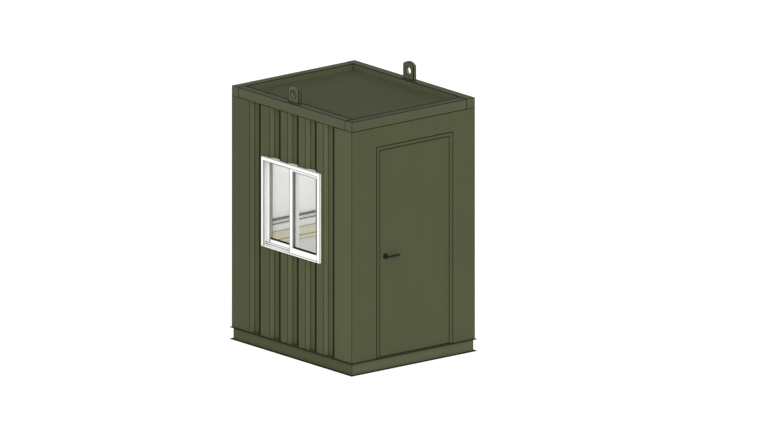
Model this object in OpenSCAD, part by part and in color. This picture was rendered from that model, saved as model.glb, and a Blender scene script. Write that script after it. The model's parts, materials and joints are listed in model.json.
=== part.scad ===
// Steel security guard booth: a mitred I-beam base, grooved sheet walls with an inner lining,
// a box-tube roof ring with two lifting lugs, a sliding window and a hinged steel door.
// The origin lies on the ground under the middle of the booth. The door wall faces -Y,
// the window wall faces -X and +Z is up. All lengths are in millimetres.

/* [Booth] */
// Width of the door wall
booth_w = 1500; // [1400:10:1900]
// Length of the window wall
booth_d = 1800; // [1750:10:2400]
// Height of the walls between the base and the roof ring, and more where the door needs it
wall_h = 2260; // [2180:10:2700]
// Depth of a wall from its outer sheet to the room
wall_t = 80; // [70:1:110]
// Thickness of the outer steel sheets
sheet_t = 2; // [1:0.5:4]
// Thickness of the lining boards and the ceiling
lining_t = 10; // [6:1:18]

/* [Base] */
// Height of a base beam
beam_h = 120; // [110:2:160]
// Width of a base beam's flanges
beam_flange = 58; // [50:1:70]
// Thickness of a base beam's web
beam_web = 5; // [4:0.5:9]
// Thickness of a flange at its edge
flange_tip = 5.6; // [4:0.2:9]
// How much thicker a flange is at the web
flange_taper = 3.8; // [0:0.2:6]
// Radius between web and flange
web_fillet = 5; // [2:0.5:8]
// How far the base stands out past the walls
base_ledge = 13; // [4:1:20]
// Number of floor joists
joist_count = 3; // [2:1:5]
// Width of a floor joist
joist_w = 40; // [30:1:80]
// Height of a floor joist
joist_h = 60; // [40:1:70]
// Wall of the floor joist tube
joist_wall = 3; // [2:0.5:6]
// Thickness of the floor board
floor_t = 18; // [16:1:24]

/* [Wall grooves] */
// Width of a groove at the face of the sheet
groove_w = 156; // [120:1:170]
// Width of the groove's flat bottom
groove_bottom = 82; // [50:1:100]
// Depth of a groove
groove_depth = 38; // [20:1:45]
// Plain sheet between two grooves
groove_flat = 113; // [80:1:125]
// Plain sheet between the last two grooves of a side wall, where two sheets meet
seam_flat = 144; // [90:1:160]
// Plain sheet from the front corner to the first groove of a side wall
side_margin = 273; // [200:1:290]
// Least plain sheet from the last groove of a wall to its corner
corner_margin = 200; // [100:1:240]
// Most grooves in a side wall
side_grooves = 5; // [3:1:8]
// Most grooves in the back wall
back_grooves = 4; // [2:1:6]

/* [Roof] */
// Outside size of the square roof tubes
roof_tube = 100; // [90:1:120]
// Wall of the roof tubes
roof_tube_wall = 4; // [3:0.5:8]
// Corner radius of the roof tubes
roof_tube_round = 4; // [1:0.5:8]
// Depth of the roof sheet below the top of the ring
roof_recess = 58; // [20:1:80]
// Thickness of the roof sheet
roof_sheet_t = 3; // [2:0.5:5]

/* [Lifting lugs] */
// Length of a lug along the tube
lug_len = 156; // [120:1:180]
// Height of a lug at its middle
lug_h = 174; // [150:1:220]
// Thickness of a lug
lug_t = 33; // [20:1:40]
// Radius of the lug's arched top
lug_arch = 112; // [95:1:160]
// Diameter of the lug's hole
lug_hole = 76; // [50:1:85]
// Height of the hole above the tube
lug_hole_h = 84; // [70:1:95]
// How far the lugs sit behind the middle of the booth
lug_back = 18; // [-100:1:100]

/* [Window] */
// Outside width of the window frame
window_w = 876; // [700:1:1000]
// Outside height of the window frame
window_h = 876; // [700:1:1000]
// Height of the window frame's foot above the ground
window_foot = 1009; // [1000:1:1150]
// How far the frame stands proud of the wall
window_proud = 23; // [5:1:30]
// Face of the frame at its sides and head
frame_face = 36; // [28:1:45]
// Face of the frame at the sill
sill_face = 13; // [12:1:22]
// Height of the sill behind the outer track
sill_rise = 36; // [26:1:46]
// Thickness of the frame behind the sashes
frame_back = 8; // [6:1:10]
// Thickness of the frame's outer lip
frame_lip = 10; // [6:1:12]
// Least thickness of the frame's inner lip
inner_lip = 6; // [4:1:10]
// Width of a sash track
track_w = 42; // [36:1:44]
// Thickness of the rib between the two tracks
track_rib = 3; // [3:0.5:6]
// Width of that rib, from the frame's edge
rib_face = 23; // [16:1:34]
// Play of a sash in its track on each side
sash_play = 2; // [1:0.5:3]
// Room above a sash, to lift it out
sash_lift = 6; // [4:0.5:8]
// Width of a sash's outer stile
sash_stile = 56; // [48:1:70]
// Width of the two stiles that meet
meeting_stile = 45; // [36:1:56]
// Height of a sash's top rail
sash_head = 44; // [38:1:60]
// Height of a sash's bottom rail
sash_foot = 63; // [50:1:75]
// Depth of the groove that holds a pane
pane_groove = 10; // [6:1:14]
// Thickness of a pane
pane_t = 6; // [4:0.5:10]
// Depth of a pane behind the face of its sash
pane_set = 16; // [8:0.5:18]

/* [Door] */
// Outside width of the door frame
door_w = 930; // [800:1:1000]
// Height of the door frame above the base
door_h = 2070; // [1900:1:2150]
// Least plain wall above the door frame
over_door = 150; // [60:1:300]
// How far the door sits right of the middle of the wall
door_right = 15; // [-30:1:30]
// Face width of the door frame
door_face = 40; // [36:1:60]
// Thickness of the frame's face plate
door_plate = 3; // [2:0.5:6]
// Lap of the face plate over the wall sheet
door_lap = 14; // [8:1:16]
// Thickness of the jambs and the head
jamb_t = 10; // [6:1:12]
// Gap between the leaf and the frame at its sides and top
leaf_gap = 8; // [7:0.5:9]
// Gap between the leaf and the back of the face plate
stop_gap = 5.5; // [5.5:0.5:9]
// Gap under the leaf
floor_gap = 10; // [6:0.5:15]
// Thickness of the door leaf
leaf_t = 40; // [35:1:42]
// Thickness of the leaf's steel skins
leaf_skin = 1.5; // [1:0.5:3]

/* [Door hinges] */
// Number of hinges
hinge_count = 3; // [2:1:4]
// Radius of a hinge barrel
barrel_r = 8; // [7:0.5:10]
// Length of each half of a barrel
barrel_len = 50; // [40:1:70]
// Radius of a hinge pin
pin_r = 4.5; // [3:0.25:5]
// Running clearance round a pin
pin_play = 0.08; // [0.05:0.01:0.1]
// Gap between the two halves of a barrel
barrel_gap = 0.6; // [0.3:0.1:1.5]
// Gap between a barrel and the jamb and leaf
barrel_off = 1.2; // [1:0.1:2]
// Thickness of a hinge flap
flap_t = 3; // [2.5:0.5:4]
// Width of a hinge flap
flap_w = 26; // [15:1:28]
// Distance of the outer hinges from the ends of the leaf
hinge_inset = 260; // [150:5:400]

/* [Door lever] */
// Distance of the lever's axis from the leaf's free edge
lever_set = 80; // [55:1:120]
// Height of the lever's axis above the base
lever_h = 985; // [800:5:1150]
// Radius of a rose
rose_r = 28; // [22:0.5:34]
// Thickness of a rose
rose_t = 9; // [6:0.5:14]
// Rounding of a rose's rim
rose_round = 3; // [1:0.5:5]
// Radius of the lever's neck
neck_r = 10.5; // [7:0.5:12]
// Play of the neck in its rose
neck_play = 0.3; // [0.2:0.05:0.5]
// Distance of the lever from the leaf
lever_off = 41; // [35:1:60]
// Length of the lever from its axis
lever_len = 148; // [90:1:160]
// Radius of the lever's grip at its free end
grip_r = 12; // [8:0.5:14]
// Side of the square spindle
spindle = 8; // [6:0.5:10]

/* [Desk and trunking] */
// Depth of the desk top
desk_d = 261; // [200:1:400]
// Thickness of the desk top
desk_t = 38; // [20:1:50]
// Height of the desk top above the floor
desk_h = 872; // [700:1:900]
// Height of the cable trunking
trunking_h = 45; // [30:1:60]
// Depth of the cable trunking
trunking_d = 20; // [12:1:40]
// Gap from the desk top up to the trunking
trunking_up = 84; // [20:1:150]
// Step of the trunking's lid behind its body
lid_step = 1.5; // [0.5:0.5:3]
// Height of the trunking's lid
lid_h = 24; // [15:1:28]

/* [Hidden] */
$fn = 64;
// Overrun of a cutting tool past the face it cuts
cut = 1;

paint = "#55593f";
paint_dark = "#4a4d3a";
white = "#f4f4ee";
board = "#d9d9d6";
black = "#262624";
wood = "#beb48c";

x_wall = booth_w / 2;
y_wall = booth_d / 2;
x_room = x_wall - wall_t;
y_room = y_wall - wall_t;
z_base = beam_h;
wall_up = max(wall_h, door_h + over_door);
z_ring = z_base + wall_up;
z_top = z_ring + roof_tube;
z_ceiling = z_ring - lining_t;
lining_h = z_ceiling - z_base;

// Base beams stand out by the ledge, and the floor board fills the space between their flanges.
x_base = x_wall + base_ledge;
y_base = y_wall + base_ledge;
x_floor = x_base - beam_flange;
y_floor = y_base - beam_flange;
x_web = x_base - beam_flange / 2 - beam_web / 2;

// Window frame in the wall: depths are counted inwards from its outer face.
outer_track = frame_lip;
inner_track = outer_track + track_w + track_rib;
frame_depth = max(window_proud + wall_t, inner_track + track_w + inner_lip);
sash_t = track_w - 2 * sash_play;
sash_h = window_h - 2 * frame_back - sash_lift;
sash_end = window_w / 2 - frame_back - sash_play;
sash_w = sash_end + meeting_stile / 2;
x_frame = -x_wall - window_proud;

// Door frame and leaf.
x_door0 = door_right - door_w / 2;
x_door1 = door_right + door_w / 2;
z_door = z_base + door_h;
jamb_in = door_lap + jamb_t;
leaf_in = jamb_in + leaf_gap;
x_leaf0 = x_door0 + leaf_in;
x_leaf1 = x_door1 - leaf_in;
leaf_w = x_leaf1 - x_leaf0;
z_leaf = z_base + floor_gap;
leaf_h = z_door - leaf_in - z_leaf;
y_leaf = -y_wall + stop_gap;
y_leaf_back = y_leaf + leaf_t;

// Hinge axis, clear of the jamb beside it and of the leaf's back before it.
x_hinge = x_door1 - jamb_in - barrel_off - barrel_r;
y_hinge = y_leaf_back + barrel_off + barrel_r;
hinge_step = (leaf_h - 2 * hinge_inset) / (hinge_count - 1);

// Lever axis.
x_lever = x_leaf0 + lever_set;
z_lever = z_base + lever_h;

// Where the grooves of a wall begin, measured along the wall from its first corner. A short wall
// has as many as fit between its plain margins.
groove_pitch = groove_w + groove_flat;
seam_extra = seam_flat - groove_flat;
side_room = booth_d - side_margin - corner_margin - seam_extra;
back_room = booth_w - 2 * corner_margin;
side_count = min(side_grooves, floor((side_room + groove_flat) / groove_pitch));
back_count = min(back_grooves, floor((back_room + groove_flat) / groove_pitch));
side_starts = [for (i = [0 : side_count - 1])
    side_margin + i * groove_pitch + (i == side_count - 1 ? seam_extra : 0)];
back_field = back_count * groove_pitch - groove_flat;
back_starts = [for (i = [0 : back_count - 1]) (booth_w - back_field) / 2 + i * groove_pitch];

// One groove of the folded sheet: the four folds, at a depth inside the face of the sheet.
groove_run = (groove_w - groove_bottom) / 2;
fold_shift = sheet_t * tan(atan(groove_depth / groove_run) / 2);
function groove(start, inside) = let (s = inside > 0 ? fold_shift : 0) [
    [start - s, inside],
    [start + groove_run - s, groove_depth + inside],
    [start + groove_w - groove_run + s, groove_depth + inside],
    [start + groove_w + s, inside]
];
function folds(starts, inside) = [for (s = starts) each groove(s, inside)];
function turned(list) = [for (i = [len(list) - 1 : -1 : 0]) list[i]];

// Plan of a grooved sheet: its face along +X from the first corner, its inside towards +Y.
module sheet_plan(length, starts) {
    face = concat([[sheet_t, 0]], folds(starts, 0), [[length - sheet_t, 0]]);
    inside = concat([[sheet_t, sheet_t]], folds(starts, sheet_t), [[length - sheet_t, sheet_t]]);
    polygon(concat(face, turned(inside)));
}

module side_sheet() {
    translate([-x_wall, -y_wall, z_base])
        linear_extrude(wall_up)
            mirror([1, -1])
                sheet_plan(booth_d, side_starts);
}

// The hole that the window frame fills.
module window_hole() {
    translate([-x_wall - cut, -window_w / 2, window_foot])
        cube([wall_t + 2 * cut, window_w, window_h]);
}

module window_wall_sheet() {
    color(paint)
        difference() {
            side_sheet();
            window_hole();
        }
}

module blind_wall_sheet() {
    color(paint) mirror([1, 0, 0]) side_sheet();
}

module back_wall_sheet() {
    color(paint)
        translate([-x_wall, y_wall, z_base])
            linear_extrude(wall_up)
                mirror([0, 1])
                    whole_width_plan();
}

// The back sheet laps over the ends of the side sheets.
module whole_width_plan() {
    sheet_plan(booth_w, back_starts);
    square(sheet_t);
    translate([booth_w - sheet_t, 0]) square(sheet_t);
}

// A flat board or sheet in the front wall, from one X to another.
module front_panel(x0, x1, y, thick, z0, z1) {
    translate([x0, y, z0]) cube([x1 - x0, thick, z1 - z0]);
}

module left_front_sheet() {
    color(paint) front_panel(-x_wall, x_door0 + door_lap, -y_wall, sheet_t, z_base, z_ring);
}

module right_front_sheet() {
    color(paint) front_panel(x_door1 - door_lap, x_wall, -y_wall, sheet_t, z_base, z_ring);
}

module over_door_sheet() {
    color(paint)
        front_panel(x_door0 + door_lap, x_door1 - door_lap, -y_wall, sheet_t, z_door - door_lap, z_ring);
}

module side_lining() {
    translate([-x_room - lining_t, -y_room, z_base]) cube([lining_t, 2 * y_room, lining_h]);
}

module window_wall_lining() {
    color(board)
        difference() {
            side_lining();
            window_hole();
        }
}

module blind_wall_lining() {
    color(board) mirror([1, 0, 0]) side_lining();
}

module back_wall_lining() {
    color(board)
        translate([-x_room - lining_t, y_room, z_base]) cube([2 * (x_room + lining_t), lining_t, lining_h]);
}

module left_front_lining() {
    color(board)
        front_panel(-x_room - lining_t, x_door0 + door_lap, -y_room - lining_t, lining_t, z_base, z_ceiling);
}

module right_front_lining() {
    color(board)
        front_panel(x_door1 - door_lap, x_room + lining_t, -y_room - lining_t, lining_t, z_base, z_ceiling);
}

module over_door_lining() {
    color(board)
        front_panel(x_door0 + door_lap, x_door1 - door_lap, -y_room - lining_t, lining_t,
            z_door - door_lap, z_ceiling);
}

module ceiling() {
    color(board)
        translate([-x_room - lining_t, -y_room - lining_t, z_ceiling])
            cube([2 * (x_room + lining_t), 2 * (y_room + lining_t), lining_t]);
}

// Half of the I-section above its middle, with tapered flanges and rounded roots.
module beam_half() {
    half = beam_flange / 2;
    root = beam_web / 2;
    top = beam_h / 2;
    difference() {
        polygon([
            [-half, top], [half, top], [half, top - flange_tip],
            [root + web_fillet, top - flange_tip - flange_taper],
            [root + web_fillet, top - flange_tip - flange_taper - web_fillet],
            [root, top - flange_tip - flange_taper - web_fillet], [root, 0],
            [-root, 0], [-root, top - flange_tip - flange_taper - web_fillet],
            [-root - web_fillet, top - flange_tip - flange_taper - web_fillet],
            [-root - web_fillet, top - flange_tip - flange_taper], [-half, top - flange_tip]
        ]);
        for (side = [-1, 1])
            translate([side * (root + web_fillet), top - flange_tip - flange_taper - web_fillet])
                circle(web_fillet);
    }
}

module beam_section() {
    beam_half();
    mirror([0, 1]) beam_half();
}

// A base beam along X with its outer edge at y = 0, mitred at both ends.
module base_beam(length) {
    intersection() {
        translate([-length / 2, beam_flange / 2, beam_h / 2])
            rotate([90, 0, 90])
                linear_extrude(length)
                    beam_section();
        translate([0, 0, -cut])
            linear_extrude(beam_h + 2 * cut)
                polygon([
                    [-length / 2, 0], [length / 2, 0],
                    [length / 2 - beam_flange, beam_flange], [beam_flange - length / 2, beam_flange]
                ]);
    }
}

module front_base_beam() {
    color(paint) translate([0, -y_base, 0]) base_beam(2 * x_base);
}

module back_base_beam() {
    color(paint) translate([0, y_base, 0]) rotate(180) base_beam(2 * x_base);
}

module left_base_beam() {
    color(paint) translate([-x_base, 0, 0]) rotate(-90) base_beam(2 * y_base);
}

module right_base_beam() {
    color(paint) translate([x_base, 0, 0]) rotate(90) base_beam(2 * y_base);
}

// Floor joists: tubes from web to web, spread evenly under the floor board.
module floor_joists() {
    step = 2 * y_floor / (joist_count + 1);
    color(paint_dark)
        for (i = [1 : joist_count])
            translate([-x_web, -y_floor + i * step - joist_w / 2, z_base - floor_t - joist_h])
                difference() {
                    cube([2 * x_web, joist_w, joist_h]);
                    translate([-cut, joist_wall, joist_wall])
                        cube([2 * (x_web + cut), joist_w - 2 * joist_wall, joist_h - 2 * joist_wall]);
                }
}

module floor_board() {
    color(wood)
        translate([-x_floor, -y_floor, z_base - floor_t]) cube([2 * x_floor, 2 * y_floor, floor_t]);
}

// A square with rounded corners, from true arcs.
module rounded_square(size, round) {
    translate([round, 0]) square([size - 2 * round, size]);
    translate([0, round]) square([size, size - 2 * round]);
    for (x = [round, size - round])
        for (y = [round, size - round])
            translate([x, y]) circle(round);
}

// A roof tube along X, from x = 0, its lower outer edge on the X axis.
module roof_tube_along(length) {
    rotate([90, 0, 90])
        linear_extrude(length)
            difference() {
                rounded_square(roof_tube, roof_tube_round);
                translate([roof_tube_wall, roof_tube_wall])
                    square(roof_tube - 2 * roof_tube_wall);
            }
}

// The front and back tubes run from the left face to the right tube.
module front_roof_tube() {
    color(paint) translate([-x_wall, -y_wall, z_ring]) roof_tube_along(booth_w - roof_tube);
}

module back_roof_tube() {
    color(paint) translate([-x_wall, y_wall - roof_tube, z_ring]) roof_tube_along(booth_w - roof_tube);
}

module left_roof_tube() {
    color(paint)
        translate([roof_tube - x_wall, roof_tube - y_wall, z_ring])
            rotate(90)
                roof_tube_along(booth_d - 2 * roof_tube);
}

module right_roof_tube() {
    color(paint) translate([x_wall, -y_wall, z_ring]) rotate(90) roof_tube_along(booth_d);
}

// Plates that close the four tube ends in view.
module roof_tube_caps() {
    side = roof_tube - 2 * roof_tube_wall;
    color(paint)
        translate([0, 0, z_ring + roof_tube_wall]) {
            for (y = [-y_wall, y_wall - roof_tube])
                translate([-x_wall, y + roof_tube_wall, 0]) cube([roof_tube_wall, side, side]);
            for (y = [-y_wall, y_wall - roof_tube_wall])
                translate([x_wall - roof_tube + roof_tube_wall, y, 0]) cube([side, roof_tube_wall, side]);
        }
}

module roof_sheet() {
    x = x_wall - roof_tube;
    y = y_wall - roof_tube;
    color(paint_dark)
        translate([-x, -y, z_top - roof_recess - roof_sheet_t]) cube([2 * x, 2 * y, roof_sheet_t]);
}

// A lifting lug over the middle of a side tube: arched on top, with one round hole.
module lug(x) {
    translate([x, lug_back, z_top])
        rotate([90, 0, 90])
            translate([0, 0, -lug_t / 2])
                difference() {
                    intersection() {
                        translate([-lug_len / 2, 0, 0]) cube([lug_len, lug_h, lug_t]);
                        translate([0, lug_h - lug_arch, 0]) linear_extrude(lug_t) arch_plan();
                    }
                    translate([0, lug_hole_h, -cut]) cylinder(d = lug_hole, h = lug_t + 2 * cut);
                }
}

// The arch of a lug's top, carried down below the tube.
module arch_plan() {
    circle(lug_arch);
    translate([-lug_arch, -lug_h]) square([2 * lug_arch, lug_h]);
}

module left_lug() {
    color(paint) lug(roof_tube / 2 - x_wall);
}

module right_lug() {
    color(paint) lug(x_wall - roof_tube / 2);
}

// A box in the window: depth from the frame's face, then distances from the frame's four sides.
module window_box(depth0, depth1, side, foot, head) {
    translate([x_frame + depth0, side - window_w / 2, window_foot + foot])
        cube([depth1 - depth0, window_w - 2 * side, window_h - foot - head]);
}

// The sill is low in front of the rib between the tracks and higher behind it.
module window_frame() {
    color(white)
        difference() {
            window_box(0, frame_depth, 0, 0, 0);
            window_box(-cut, inner_track - track_rib, frame_face, sill_face, frame_face);
            window_box(inner_track - track_rib - cut, inner_track, rib_face, sill_rise, rib_face);
            window_box(inner_track - cut, frame_depth + cut, frame_face, sill_rise, frame_face);
            for (track = [outer_track, inner_track])
                window_box(track, track + track_w, frame_back, frame_back, frame_back);
        }
}

// A sash with its outer stile towards -Y, its face at x = 0 and its foot at z = 0.
module sash_bars() {
    pane_w = sash_w - sash_stile - meeting_stile;
    pane_h = sash_h - sash_foot - sash_head;
    difference() {
        translate([0, -sash_end, 0]) cube([sash_t, sash_w, sash_h]);
        translate([-cut, sash_stile - sash_end, sash_foot]) cube([sash_t + 2 * cut, pane_w, pane_h]);
        sash_pane();
    }
}

// The pane of that sash, seated in the groove of its bars.
module sash_pane() {
    pane_w = sash_w - sash_stile - meeting_stile + 2 * pane_groove;
    pane_h = sash_h - sash_foot - sash_head + 2 * pane_groove;
    translate([pane_set, sash_stile - pane_groove - sash_end, sash_foot - pane_groove])
        cube([pane_t, pane_w, pane_h]);
}

// The outer sash closes the front half of the window, the inner sash the back half.
module outer_place() {
    translate([x_frame + outer_track + sash_play, 0, window_foot + frame_back]) children();
}

module inner_place() {
    translate([x_frame + inner_track + sash_play, 0, window_foot + frame_back])
        mirror([0, 1, 0])
            children();
}

module outer_sash() {
    color(white) outer_place() sash_bars();
}

module inner_sash() {
    color(white) inner_place() sash_bars();
}

module outer_pane() {
    color([0.8, 0.85, 0.85, 0.4]) outer_place() sash_pane();
}

module inner_pane() {
    color([0.8, 0.85, 0.85, 0.4]) inner_place() sash_pane();
}

// A jamb from the outer edge of its face plate: the plate in front, the jamb behind it up to the
// sheet over the door.
module jamb() {
    translate([0, -door_plate, 0]) cube([door_face, door_plate, door_h]);
    translate([door_lap, 0, 0]) cube([jamb_t, wall_t, door_h - door_lap]);
}

module left_jamb() {
    color(paint) translate([x_door0, -y_wall, z_base]) jamb();
}

module hinge_jamb() {
    color(paint) translate([x_door1, -y_wall, z_base]) mirror([1, 0, 0]) jamb();
}

module door_head() {
    color(paint) {
        translate([x_door0 + door_face, -y_wall - door_plate, z_door - door_face])
            cube([door_w - 2 * door_face, door_plate, door_face]);
        translate([x_door0 + jamb_in, -y_wall, z_door - jamb_in])
            cube([door_w - 2 * jamb_in, wall_t, jamb_t]);
    }
}

// The axis of each hinge, from the joint between its two halves.
module each_hinge() {
    for (i = [0 : hinge_count - 1])
        translate([x_hinge, y_hinge, z_leaf + hinge_inset + i * hinge_step]) children();
}

// Lower halves, on the jamb: a barrel with its pin and a flap against the jamb.
module frame_hinges() {
    reach = x_door1 - jamb_in - x_hinge;
    color(paint_dark)
        each_hinge() {
            translate([0, 0, -barrel_len]) cylinder(r = barrel_r, h = barrel_len);
            cylinder(r = pin_r, h = barrel_gap + barrel_len);
            translate([reach - flap_t, 0, -barrel_len]) cube([flap_t, flap_w, barrel_len]);
        }
}

// Upper halves, on the leaf: a barrel bored for the pin and a flap against the leaf's back.
module leaf_hinges() {
    color(paint_dark)
        each_hinge()
            translate([0, 0, barrel_gap])
                difference() {
                    union() {
                        cylinder(r = barrel_r, h = barrel_len);
                        translate([-flap_w, y_leaf_back - y_hinge, 0]) cube([flap_w, flap_t, barrel_len]);
                    }
                    translate([0, 0, -cut]) cylinder(r = pin_r + pin_play, h = barrel_len + 2 * cut);
                }
}

// A hole through the leaf for the lever's spindle.
module spindle_hole() {
    translate([x_lever, y_leaf - cut, z_lever])
        rotate([-90, 0, 0])
            cylinder(r = neck_r + neck_play, h = leaf_t + 2 * cut);
}

// The leaf's outer skin, folded back round its four edges.
module leaf_pan() {
    color(paint)
        difference() {
            translate([x_leaf0, y_leaf, z_leaf]) cube([leaf_w, leaf_t - leaf_skin, leaf_h]);
            translate([x_leaf0 + leaf_skin, y_leaf + leaf_skin, z_leaf + leaf_skin])
                cube([leaf_w - 2 * leaf_skin, leaf_t, leaf_h - 2 * leaf_skin]);
            spindle_hole();
        }
}

module leaf_back() {
    color(paint)
        difference() {
            translate([x_leaf0, y_leaf_back - leaf_skin, z_leaf]) cube([leaf_w, leaf_skin, leaf_h]);
            spindle_hole();
        }
}

// The lever's axis from a face of the leaf: +Z points away from the leaf, +X along the lever.
module outside_lever() {
    translate([x_lever, y_leaf, z_lever]) rotate([90, 0, 0]) children();
}

module inside_lever() {
    translate([x_lever, y_leaf_back, z_lever]) mirror([0, 1, 0]) rotate([90, 0, 0]) children();
}

// A round rose with a soft rim, bored for the lever's neck.
module rose() {
    rotate_extrude()
        difference() {
            translate([neck_r + neck_play, 0]) square([rose_r - neck_r - neck_play, rose_t]);
            difference() {
                translate([rose_r - rose_round, rose_t - rose_round]) square(rose_round + cut);
                translate([rose_r - rose_round, rose_t - rose_round]) circle(rose_round);
            }
        }
}

module outer_rose() {
    color(black) outside_lever() rose();
}

module inner_rose() {
    color(black) inside_lever() rose();
}

// A lever: neck, round elbow and a grip that swells to a round end.
module lever() {
    cylinder(r = neck_r, h = lever_off);
    translate([0, 0, lever_off]) {
        sphere(neck_r);
        rotate([0, 90, 0]) cylinder(r1 = neck_r, r2 = grip_r, h = lever_len - grip_r);
        translate([lever_len - grip_r, 0, 0]) sphere(grip_r);
    }
}

module outer_lever() {
    color(black) outside_lever() lever();
}

module inner_lever() {
    color(black) inside_lever() lever();
}

module lever_spindle() {
    color(black)
        translate([x_lever - spindle / 2, y_leaf, z_lever - spindle / 2])
            cube([spindle, leaf_t, spindle]);
}

module desk_top() {
    color(wood)
        translate([-x_room, y_room - desk_d, z_base + desk_h - desk_t])
            cube([2 * x_room, desk_d, desk_t]);
}

// Trunking along the back wall: a body with its lid set back a step in the middle of its face.
module cable_trunking() {
    edge = (trunking_h - lid_h) / 2;
    color(white)
        translate([-x_room, y_room - trunking_d, z_base + desk_h + trunking_up])
            difference() {
                cube([2 * x_room, trunking_d, trunking_h]);
                translate([-cut, -cut, edge]) cube([2 * (x_room + cut), lid_step + cut, lid_h]);
            }
}

front_base_beam();
back_base_beam();
left_base_beam();
right_base_beam();
floor_joists();
floor_board();
window_wall_sheet();
blind_wall_sheet();
back_wall_sheet();
left_front_sheet();
right_front_sheet();
over_door_sheet();
window_wall_lining();
blind_wall_lining();
back_wall_lining();
left_front_lining();
right_front_lining();
over_door_lining();
ceiling();
front_roof_tube();
back_roof_tube();
left_roof_tube();
right_roof_tube();
roof_tube_caps();
roof_sheet();
left_lug();
right_lug();
window_frame();
outer_sash();
inner_sash();
outer_pane();
inner_pane();
left_jamb();
hinge_jamb();
door_head();
frame_hinges();
leaf_pan();
leaf_back();
leaf_hinges();
outer_rose();
inner_rose();
outer_lever();
inner_lever();
lever_spindle();
desk_top();
cable_trunking();
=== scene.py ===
"""Looks of a steel security guard booth: its finishes, seals, welds, screws and stage.

Laid out as an add-on and run as a script. Every piece is in metres, in the frame of the solids.
"""
import json
import math

import bpy
from bpy.props import FloatProperty, FloatVectorProperty, PointerProperty
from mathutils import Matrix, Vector


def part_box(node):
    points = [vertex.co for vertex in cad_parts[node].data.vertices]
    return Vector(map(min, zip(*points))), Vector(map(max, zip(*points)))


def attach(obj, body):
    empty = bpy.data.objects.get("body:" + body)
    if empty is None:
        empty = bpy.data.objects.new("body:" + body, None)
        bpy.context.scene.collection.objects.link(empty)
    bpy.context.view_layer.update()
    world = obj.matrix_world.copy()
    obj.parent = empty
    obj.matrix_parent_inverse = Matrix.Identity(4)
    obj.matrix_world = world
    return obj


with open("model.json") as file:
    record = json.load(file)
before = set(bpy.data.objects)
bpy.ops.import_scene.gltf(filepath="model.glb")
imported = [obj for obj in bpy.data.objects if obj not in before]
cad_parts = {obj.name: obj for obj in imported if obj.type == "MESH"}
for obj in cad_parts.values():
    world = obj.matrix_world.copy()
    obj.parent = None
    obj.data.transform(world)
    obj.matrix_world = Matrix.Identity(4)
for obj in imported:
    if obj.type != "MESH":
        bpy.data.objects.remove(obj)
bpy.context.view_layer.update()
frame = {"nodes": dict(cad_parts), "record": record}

bl_info = {
    "name": "Guard booth looks",
    "version": (1, 0, 0),
    "blender": (4, 5, 0),
    "location": "3D View > Sidebar > Guard booth",
    "description": "Finishes, seals, welds and stage of a steel security guard booth",
    "category": "Object",
}

BASE_BEAMS = ["front_base_beam", "back_base_beam", "left_base_beam", "right_base_beam"]
FRONT_SHEETS = ["left_front_sheet", "right_front_sheet", "over_door_sheet"]
DOOR_FRAME = ["left_jamb", "hinge_jamb", "door_head"]
LUGS = ["left_lug", "right_lug"]
LININGS = ["window_wall_lining", "blind_wall_lining", "back_wall_lining", "left_front_lining",
           "right_front_lining", "over_door_lining"]
SASHES = ["outer_sash", "inner_sash"]
PANES = ["outer_pane", "inner_pane"]
LEVER_PARTS = ["outer_rose", "inner_rose", "outer_lever", "inner_lever", "lever_spindle"]

# How far a pane's edges sit in the grooves of its sash.
PANE_BITE = Vector((0, 0.010, 0.010))
# A length that takes the side of a box clear of the part.
FAR = 1.0
# Share of a dirt line that is dark throughout, and the most that its soft side takes up.
CORE = 0.6
SOFT = 0.003


def tone(label, value, about):
    """A colour that a user may change, in linear light."""
    return FloatVectorProperty(name=label, description=about, subtype="COLOR", size=3,
                               min=0.0, max=1.0, default=value)


def length(label, value, about):
    """A length that a user may change, in metres."""
    return FloatProperty(name=label, description=about, subtype="DISTANCE", unit="LENGTH",
                         min=0.0, default=value, precision=4)


def number(label, value, about, kind="NONE"):
    """Another number that a user may change."""
    return FloatProperty(name=label, description=about, subtype=kind, default=value)


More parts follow.
